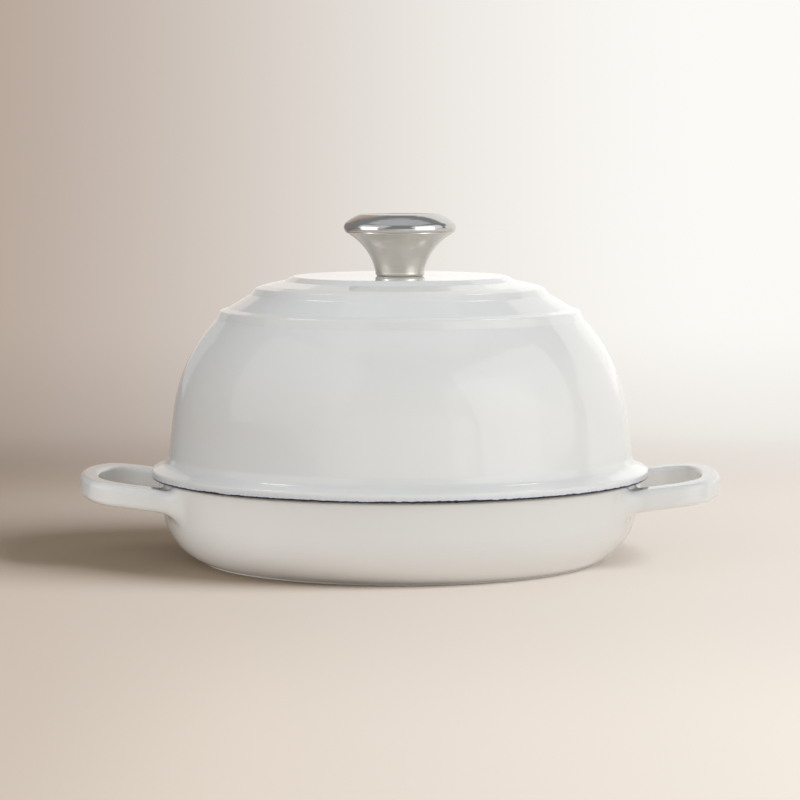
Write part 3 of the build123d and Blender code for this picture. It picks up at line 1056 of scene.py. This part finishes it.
class MakePan(Operator):
    """Turns the pan's body, hollow and ribs from its half section"""

    bl_idname = "cloche.make_pan"
    bl_label = "Pan"

    def execute(self, context):
        sizes = context.scene.cloche_pan
        inner = sizes.rim_radius - sizes.wall
        floor_top = FOOT_RECESS + PAN_FLOOR
        lean = PAN_FLARE / (SEAM - PAN_SHOULDER)
        floor_radius = inner - (SEAM - floor_top) * lean
        rim_middle = sizes.rim_radius - sizes.wall / 2
        ring_inner = sizes.foot_radius - FOOT_RING_WIDTH
        outside = (
            Outline(rim_middle, SEAM)
            .to(sizes.rim_radius, SEAM, PAN_RIM_OUTER_FILLET)
            .to(sizes.rim_radius - PAN_FLARE, PAN_SHOULDER)
            .bend_to(sizes.foot_radius + FOOT_STEP, FOOT_HEIGHT)
            .to(sizes.foot_radius, FOOT_HEIGHT)
            .to(sizes.foot_radius, 0, FOOT_FILLET)
            .to(ring_inner, 0)
            .to(ring_inner - FOOT_RECESS, FOOT_RECESS)
            .to(0, FOOT_RECESS)
        )
        inside = (
            Outline(rim_middle, SEAM)
            .to(inner, SEAM, PAN_RIM_INNER_FILLET)
            .to(floor_radius, floor_top, PAN_INNER_CORNER)
        )
        flat = floor_radius - PAN_INNER_CORNER
        for step in reversed(range(RIB_COUNT)):
            share = RIB_FIRST_SHARE + (RIB_LAST_SHARE - RIB_FIRST_SHARE) * step / (RIB_COUNT - 1)
            outer = share * flat + RIB_WIDTH / 2
            rib_top = floor_top + sizes.rib_height
            inside.to(outer, floor_top).to(outer, rib_top, RIB_FILLET)
            inside.to(outer - RIB_WIDTH, rib_top, RIB_FILLET).to(outer - RIB_WIDTH, floor_top)
        inside.to(0, floor_top)
        finishes = context.scene.cloche_finishes
        piece = turned_piece(
            "pan_body",
            outside.rounded()[::-1],
            inside.rounded(),
            sizes.segments,
            pan_enamel(finishes),
            finish("Satin lining", satin_lining, finishes),
        )
        declare(piece, "pan", "enamel", "base_pan")
        return {"FINISHED"}


class MakeHandles(Operator):
    """Grows the two loop handles out of the pan's wall, with soft fillets at their roots"""

    bl_idname = "cloche.make_handles"
    bl_label = "Loop handles"

    def execute(self, context):
        pan = context.scene.cloche_pan
        sizes = context.scene.cloche_handles
        form = HandleForm(pan, sizes)
        half = sizes.width / 2 + 2 * sizes.outer_blend
        into_pan, below, past_tip, above = HANDLE_ROOM
        low = (pan.rim_radius - into_pan, -half, SEAM - below)
        high = (pan.rim_radius + sizes.reach + past_tip, half, SEAM + above)
        points, quads = skin(form, low, high, sizes.grain)
        quads = quads[np.all(form.kept(points)[quads], axis=1)]
        used = np.unique(quads)
        number = np.zeros(len(points), int)
        number[used] = np.arange(len(used))
        points, quads = points[used], number[quads]
        normals = form.slope(points)
        normals /= np.linalg.norm(normals, axis=1, keepdims=True)
        turn = np.array((-1, -1, 1))
        mesh = bpy.data.meshes.new("pan_handles")
        both = np.concatenate([points, points * turn])
        mesh.from_pydata(both.tolist(), [], np.concatenate([quads, quads + len(points)]).tolist())
        mesh.shade_smooth()
        mesh.normals_split_custom_set_from_vertices(np.concatenate([normals, normals * turn]).tolist())
        mesh.materials.append(pan_enamel(context.scene.cloche_finishes))
        piece = new_piece("pan_handles", mesh)
        declare(piece, "pan", "enamel", "base_pan")
        return {"FINISHED"}


class MakeLid(Operator):
    """Turns the domed lid, its stepped rings and its lip from its half section"""

    bl_idname = "cloche.make_lid"
    bl_label = "Domed lid"

    def execute(self, context):
        pan = context.scene.cloche_pan
        sizes = context.scene.cloche_lid
        rim = pan.rim_radius + sizes.overhang
        top = SEAM + sizes.rise
        spring = (rim - LID_SPRING_INSET, SEAM + LID_SPRING_SHARE * sizes.rise)
        wall_foot = (rim - LID_WALL_INSET, SEAM + LID_WALL_FOOT)
        rings = [
            [(radius * spring[0], SEAM + rise * sizes.rise, fillet) for radius, rise, fillet in ring]
            for ring in RINGS
        ]
        lean = PAN_FLARE / (SEAM - PAN_SHOULDER)
        lip = pan.rim_radius - pan.wall - LIP_CLEARANCE
        lip_foot = lip - LIP_DEPTH * lean
        outside = (
            Outline(lip, SEAM)
            .to(rim, SEAM, LID_RIM_FILLETS[0])
            .to(rim, SEAM + LID_RIM_EDGE, LID_RIM_FILLETS[1])
            .to(rim - LID_RIM_SLOPE[0], SEAM + LID_RIM_SLOPE[1], LID_WALL_FILLET)
            .to(*wall_foot, LID_WALL_FILLET)
            .to(*spring)
            .bend_to(*rings[0][0])
        )
        for corner in rings[0][1:] + rings[1] + rings[2]:
            outside.to(*corner)
        outside.to(SCREW_HOLE, top)
        crown = top - LID_CROWN_THICKNESS
        knees = [self.inside_wall(ring[0], spring[1], sizes.wall) for ring in rings[:2]]
        inside = (
            Outline(lip, SEAM)
            .to(lip_foot, SEAM - LIP_DEPTH, LIP_FILLET)
            .to(lip_foot - LIP_WALL, SEAM - LIP_DEPTH, LIP_FILLET)
            .to(wall_foot[0] - sizes.wall, wall_foot[1])
            .to(spring[0] - sizes.wall, spring[1])
            .bend_to(*knees[0])
            .bend_to(*knees[1])
            .bend_to(LID_CROWN_SHARE * spring[0], crown)
            .to(PAD[0], crown)
            .to(PAD[0], crown - PAD[1], PAD_FILLET)
            .to(SCREW_HOLE, crown - PAD[1])
        )
        finishes = context.scene.cloche_finishes
        piece = turned_piece(
            "lid_dome",
            outside.rounded(),
            inside.rounded()[::-1],
            sizes.segments,
            finish("Lid enamel", gloss_enamel, finishes, lid_edge_depth, finishes.haze, LID_HAZE),
            finish("Satin lining", satin_lining, finishes),
        )
        declare(piece, "lid", "enamel", "dome_lid")
        return {"FINISHED"}

    @staticmethod
    def inside_wall(corner, spring_height, wall):
        """The point one wall inside a corner, towards the middle of the dome's spring."""
        point = complex(corner[0], corner[1] - spring_height)
        point -= wall * point / abs(point)
        return point.real, point.imag + spring_height


class MakeKnob(Operator):
    """Turns the knob's satin shell and its polished cap"""

    bl_idname = "cloche.make_knob"
    bl_label = "Knob"

    def execute(self, context):
        sizes = context.scene.cloche_knob
        finishes = context.scene.cloche_finishes
        satin = finish("Satin steel", turned_steel, finishes.shell, *SATIN)
        polished = finish("Polished steel", turned_steel, finishes.cap, *POLISH)
        seam_radius, seam_rise = KNOB_SEAM
        skin_path = (
            Outline(KNOB_BORE, CROWN)
            .to(KNOB_FOOT[0], CROWN, KNOB_FOOT_FILLET)
            .to(KNOB_FOOT[0], CROWN + KNOB_FOOT[1])
            .bend_to(
                KNOB_FLARE_TOP[0],
                CROWN + KNOB_FLARE_TOP[1],
                heading=complex(sin(sizes.lean), cos(sizes.lean)),
            )
            .to(seam_radius, CROWN + seam_rise - KNOB_EDGE)
            .to(seam_radius, CROWN + seam_rise)
        )
        loop = thickened(skin_path.rounded(), KNOB_SHEET)
        shell = turned_piece("knob_flare", loop, [], sizes.segments, satin, satin)
        declare(shell, "knob", "satin_steel", "knob_shell")

        top = CROWN + sizes.height
        dish = top - CAP_DISH[1]
        under = dish - CAP_THICKNESS
        bead = [
            complex(seam_radius + CAP_STEP, CROWN + seam_rise),
            complex(CAP_RIM[0], CROWN + CAP_RIM[1]),
            complex(CAP_SHOULDER[0], CROWN + CAP_SHOULDER[1]),
        ]
        spigot = seam_radius - KNOB_SHEET - SPIGOT_GAP
        cap_path = (
            Outline(bead[0].real, bead[0].imag)
            .bend_to(bead[2].real, bead[2].imag, heading=arc_heading(*bead))
            .bend_to(CAP_TOP_RADIUS, top)
            .to(CAP_DISH[0], top)
            .to(CAP_DISH[0] - CAP_DISH[1], dish)
            .to(0, dish)
        )
        hollow = (
            Outline(0, under)
            .to(CAP_TOP_RADIUS, under)
            .to(spigot - SPIGOT_WALL, bead[1].imag)
            .to(spigot - SPIGOT_WALL, bead[0].imag - SPIGOT_DEPTH)
            .to(spigot, bead[0].imag - SPIGOT_DEPTH)
            .to(spigot, bead[0].imag)
            .to(bead[0].real, bead[0].imag)
        )
        cap = turned_piece(
            "knob_top", cap_path.rounded(), hollow.rounded(), sizes.segments, polished, polished
        )
        declare(cap, "knob", "polished_steel", "knob_cap")
        return {"FINISHED"}


class MakeFasteners(Operator):
    """Makes the knob's threaded screw with its crossed head, and finishes the hub and washer"""

    bl_idname = "cloche.make_fasteners"
    bl_label = "Screw, hub and washer"

    def execute(self, context):
        sizes = context.scene.cloche_knob
        finishes = context.scene.cloche_finishes
        plated = finish("Plated steel", plated_steel, finishes.fastener)
        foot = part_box("knob_screw")[0].z
        seat = foot + HEAD_HEIGHT
        shank = new_piece("screw_shank")
        grown(
            shank,
            shared_tree("Threaded shank", thread_tree),
            {
                "Radius": sizes.screw_radius,
                "Depth": sizes.thread_depth,
                "Pitch": sizes.thread_pitch,
                "Length": sizes.screw_length,
                "Start height": seat,
                "Rows a turn": THREAD_ROWS,
                "Segments": THREAD_SEGMENTS,
                "Finish": plated,
            },
        )
        path = (
            Outline(0, foot)
            .to(HEAD_RADIUS, foot, HEAD_FILLET)
            .to(HEAD_RADIUS, seat, HEAD_SEAT_FILLET)
            .to(sizes.screw_radius * HEAD_NECK[0], seat)
            .to(0, seat + HEAD_NECK[1])
        )
        head = turned_piece("knob_screw_piece", path.rounded(), [], HEAD_SEGMENTS, plated, plated)
        self.cut_cross(head, foot)
        join_mesh(head, shank)
        declare(head, "screw", "fastener_steel", "knob_screw")
        for node in ("knob_hub", "lock_washer"):
            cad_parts[node].data.materials.clear()
            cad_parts[node].data.materials.append(plated)
        return {"FINISHED"}

    @staticmethod
    def cut_cross(head, foot):
        """Cuts the crossed recess out of the screw's head, narrower at its floor."""
        reach, width, depth = CROSS
        form = bmesh.new()
        half, arm = reach / 2, width / 2
        corners = [(half, arm), (arm, arm), (arm, half)]
        turns = [Matrix.Rotation(pi / 2 * turn, 2) for turn in range(4)]
        ring = [turn @ Vector(corner) for turn in turns for corner in corners]
        wide, under = CROSS_MOUTH
        floor = [form.verts.new((*(CROSS_FLOOR * spot), foot + depth)) for spot in ring]
        mouth = [form.verts.new((*(wide * spot), foot - under)) for spot in ring]
        form.faces.new(floor)
        form.faces.new(mouth[::-1])
        for index in range(len(ring)):
            after = (index + 1) % len(ring)
            form.faces.new((mouth[index], mouth[after], floor[after], floor[index]))
        bmesh.ops.recalc_face_normals(form, faces=form.faces)
        mesh = bpy.data.meshes.new("cross")
        form.to_mesh(mesh)
        form.free()
        mesh.materials.append(head.data.materials[0])
        cutter = new_piece("cross", mesh)
        modifier = head.modifiers.new("Cross", "BOOLEAN")
        modifier.operation = "DIFFERENCE"
        modifier.object = cutter
        modifier.solver = "EXACT"
        bake_modifiers(head)
        bpy.data.objects.remove(cutter)
        bpy.data.meshes.remove(mesh)
        for face in head.data.polygons:
            in_cross = face.center.xy.length < CROSS_SHARE * HEAD_RADIUS
            flat = in_cross or abs(face.normal.z) > FLAT_NORMAL
            face.use_smooth = not flat


def join_mesh(piece, other):
    """Adds another piece's mesh to a piece and removes the other."""
    form = bmesh.new()
    form.from_mesh(piece.data)
    form.from_mesh(other.data)
    form.to_mesh(piece.data)
    form.free()
    mesh = other.data
    bpy.data.objects.remove(other)
    bpy.data.meshes.remove(mesh)


class MakeStudio(Operator):
    """Lays the floor and backdrop, hangs the lamps and sets up the camera"""

    bl_idname = "cloche.make_studio"
    bl_label = "Studio"

    def execute(self, context):
        studio = context.scene.cloche_studio
        self.lay_floor(studio)
        for lamp in LAMPS:
            self.add_lamp(*lamp)
        self.light_floor()
        self.fill_air(context.scene)
        self.set_camera(context.scene, studio)
        context.scene.view_settings.view_transform = "Standard"
        return {"FINISHED"}

    @staticmethod
    def fill_air(scene):
        """Even light from all round, fainter where gloss mirrors it and pale where it is seen."""
        world = bpy.data.worlds.new("Studio air")
        world.use_nodes = True
        world.node_tree.nodes.clear()
        graph = Graph(world.node_tree)
        sight = graph.node("ShaderNodeLightPath")
        strength = AIR * (1 - AIR_LOST_IN_GLOSS * sight.out("Is Glossy Ray") + sight)
        glow = graph.node("ShaderNodeBackground", None, {"Color": (*AIR_COLOUR, 1), "Strength": strength})
        graph.node("ShaderNodeOutputWorld", None, {"Surface": glow})
        scene.world = world

    @staticmethod
    def set_camera(scene, studio):
        """A camera in front of the cloche, which looks slightly down."""
        camera = bpy.data.objects.new("camera", bpy.data.cameras.new("camera"))
        scene.collection.objects.link(camera)
        camera.data.sensor_width = SENSOR_WIDTH
        camera.data.lens = studio.lens
        camera.location = (0, -studio.distance, studio.height)
        camera.rotation_euler = (pi / 2 - studio.pitch, 0, 0)
        scene.camera = camera

    @staticmethod
    def lay_floor(studio):
        """A sheet that lies flat in front and curves up behind the cloche."""
        line = [(SHEET_FRONT, 0.0), (SHEET_BACK, 0.0)]
        for step in range(1, BEND_STEPS + 1):
            turn = pi / 2 * step / BEND_STEPS
            line.append((SHEET_BACK + SHEET_BEND * sin(turn), SHEET_BEND * (1 - cos(turn))))
        line.append((SHEET_BACK + SHEET_BEND, SHEET_TOP))
        points = [(side * SHEET_HALF, y, z) for side in (-1, 1) for y, z in line]
        count = len(line)
        faces = [(i, i + count, i + count + 1, i + 1) for i in range(count - 1)]
        mesh = bpy.data.meshes.new("floor")
        mesh.from_pydata(points, [], faces)
        mesh.shade_smooth()
        mesh.materials.append(backdrop_paper("Paper", studio))
        new_piece("floor", mesh)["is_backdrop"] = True

    def add_lamp(self, name, place, size, watts, lit):
        """A soft box aimed at the cloche. It lights every piece, or only those named."""
        lamp = bpy.data.lights.new(name, "AREA")
        lamp.shape = "RECTANGLE"
        lamp.size, lamp.size_y = size
        lamp.energy = watts
        holder = self.hang(lamp, Vector((0, 0, LAMP_AIM)) - Vector(place), lit)
        holder.location = place
        if name in UNSHADED:
            holder.light_linking.blocker_collection = holder.light_linking.receiver_collection
        holder.visible_glossy = name not in UNMIRRORED

    def light_floor(self):
        """A wide, even light on the floor alone, so that no part of the floor is too bright."""
        lamp = bpy.data.lights.new("floor_light", "SUN")
        lamp.energy = FLOOR_LIGHT
        lamp.angle = FLOOR_LIGHT_SPREAD
        lamp.color = FLOOR_LIGHT_COLOUR
        self.hang(lamp, -Vector(FLOOR_LIGHT_FROM), ("floor",))

    @staticmethod
    def hang(lamp, aim, lit):
        """A lamp in the scene, which shines along an aim and isn't seen itself."""
        holder = bpy.data.objects.new(lamp.name, lamp)
        bpy.context.scene.collection.objects.link(holder)
        holder.visible_camera = False
        holder.rotation_euler = aim.to_track_quat("-Z", "Y").to_euler()
        if lit:
            group = bpy.data.collections.new(lamp.name)
            for piece in lit:
                group.objects.link(bpy.data.objects[piece])
            holder.light_linking.receiver_collection = group
        return holder


def backdrop_paper(name, studio):
    """Pale paper: lit where it lies flat, glowing where it stands, clear from behind. Both parts carry
    painted light and shade in their colours.
    """
    graph, place, close = new_material(name)
    x = graph.node("ShaderNodeSeparateXYZ", None, {0: place})
    y, z = x.out("Y"), x.out("Z")
    # Floor: the paper's beige, with painted shade at the left and painted light at the right
    floor_colour = graph.mix(graph.ramp(x, *ACROSS_FLOOR), studio.floor_shaded_left, studio.floor_lit_right)
    # Painted shade on the floor far off at the left
    far_left_shade = graph.ramp(y, *FAR_FLOOR) * (1 - graph.ramp(x, *FAR_FLOOR_SIDE))
    floor_colour = graph.mix(far_left_shade, floor_colour, studio.floor_far_shade)
    # Backdrop: painted shade at the left and beyond the view at the left, painted light at the right
    wall_colour = graph.mix(graph.ramp(x, *ACROSS_WALL), studio.wall_shaded_left, studio.wall_lit_right)
    wall_colour = graph.mix(graph.ramp(x, *WALL_SIDE, 1.0, 0.0), wall_colour, studio.wall_side_shade)
    # Painted light on the floor in front of the cloche, painted shade far off, and darker beyond the view
    # in front
    near = graph.ramp(y, *NEAR_FLOOR, 1.0, 0.0) * graph.ramp(x, *NEAR_FLOOR_SIDE)
    foreground = graph.ramp(y, *FOREGROUND, 1.0, 0.0)
    gain = 1.0 + NEAR_PAINTED_LIGHT * near * (1 - foreground)
    loss = AWAY_PAINTED_SHADE * graph.ramp(y, *AWAY_FLOOR) + FOREGROUND_LOSS * foreground
    floor_colour = graph.scaled(floor_colour, gain - loss)
    # Painted shade at the backdrop's foot
    wall_colour = graph.scaled(wall_colour, graph.ramp(z, *WALL_FOOT, WALL_FOOT_SHADE, 1.0))
    stands = graph.ramp(y, *WALL_STANDS)
    sight = graph.node("ShaderNodeLightPath")
    seen = graph.math(
        "MAXIMUM",
        graph.math("MAXIMUM", sight.out("Is Camera Ray"), sight.out("Is Glossy Ray")),
        sight.out("Is Transmission Ray"),
    )
    lit = graph.node("ShaderNodeBsdfDiffuse", None, {"Color": floor_colour})
    shown = graph.node("ShaderNodeEmission", None, {"Color": wall_colour, "Strength": 1.0})
    paper = graph.node("ShaderNodeMixShader", None, {0: stands * seen, 1: lit, 2: shown})
    behind = graph.node("ShaderNodeNewGeometry", output="Backfacing")
    clear = graph.node("ShaderNodeBsdfTransparent")
    return close(graph.node("ShaderNodeMixShader", None, {0: behind, 1: paper, 2: clear}))


class ClochePanel(Panel):
    """Lists the pieces, their sizes and their colours"""

    bl_idname = "CLOCHE_PT_pieces"
    bl_label = "Bread cloche"
    bl_space_type = "VIEW_3D"
    bl_region_type = "UI"
    bl_category = "Cloche"

    def draw(self, context):
        for operator, group in STEPS:
            self.layout.operator(operator.bl_idname)
            for key in getattr(context.scene, group).bl_rna.properties.keys()[2:]:
                self.layout.prop(getattr(context.scene, group), key)
        for key in context.scene.cloche_finishes.bl_rna.properties.keys()[2:]:
            self.layout.prop(context.scene.cloche_finishes, key)


GROUPS = {
    "cloche_pan": PanSizes,
    "cloche_handles": HandleSizes,
    "cloche_lid": LidSizes,
    "cloche_knob": KnobSizes,
    "cloche_finishes": Finishes,
    "cloche_studio": Studio,
}
STEPS = (
    (MakePan, "cloche_pan"),
    (MakeHandles, "cloche_handles"),
    (MakeLid, "cloche_lid"),
    (MakeKnob, "cloche_knob"),
    (MakeFasteners, "cloche_knob"),
    (MakeStudio, "cloche_studio"),
)
OPERATORS = tuple(operator for operator, _ in STEPS)


def register():
    for kind in (*GROUPS.values(), *OPERATORS, ClochePanel):
        bpy.utils.register_class(kind)
    for name, kind in GROUPS.items():
        setattr(bpy.types.Scene, name, PointerProperty(type=kind))


def unregister():
    for name in GROUPS:
        delattr(bpy.types.Scene, name)
    for kind in (ClochePanel, *reversed(OPERATORS), *reversed(list(GROUPS.values()))):
        bpy.utils.unregister_class(kind)


def main():
    register()
    for operator in OPERATORS:
        group, name = operator.bl_idname.split(".")
        getattr(getattr(bpy.ops, group), name)()
    boxes = {"cad": cad_box, "visual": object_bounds()}
    {name: [list(corner) for corner in box] for name, box in boxes.items()}


if __name__ == "__main__":
    main()
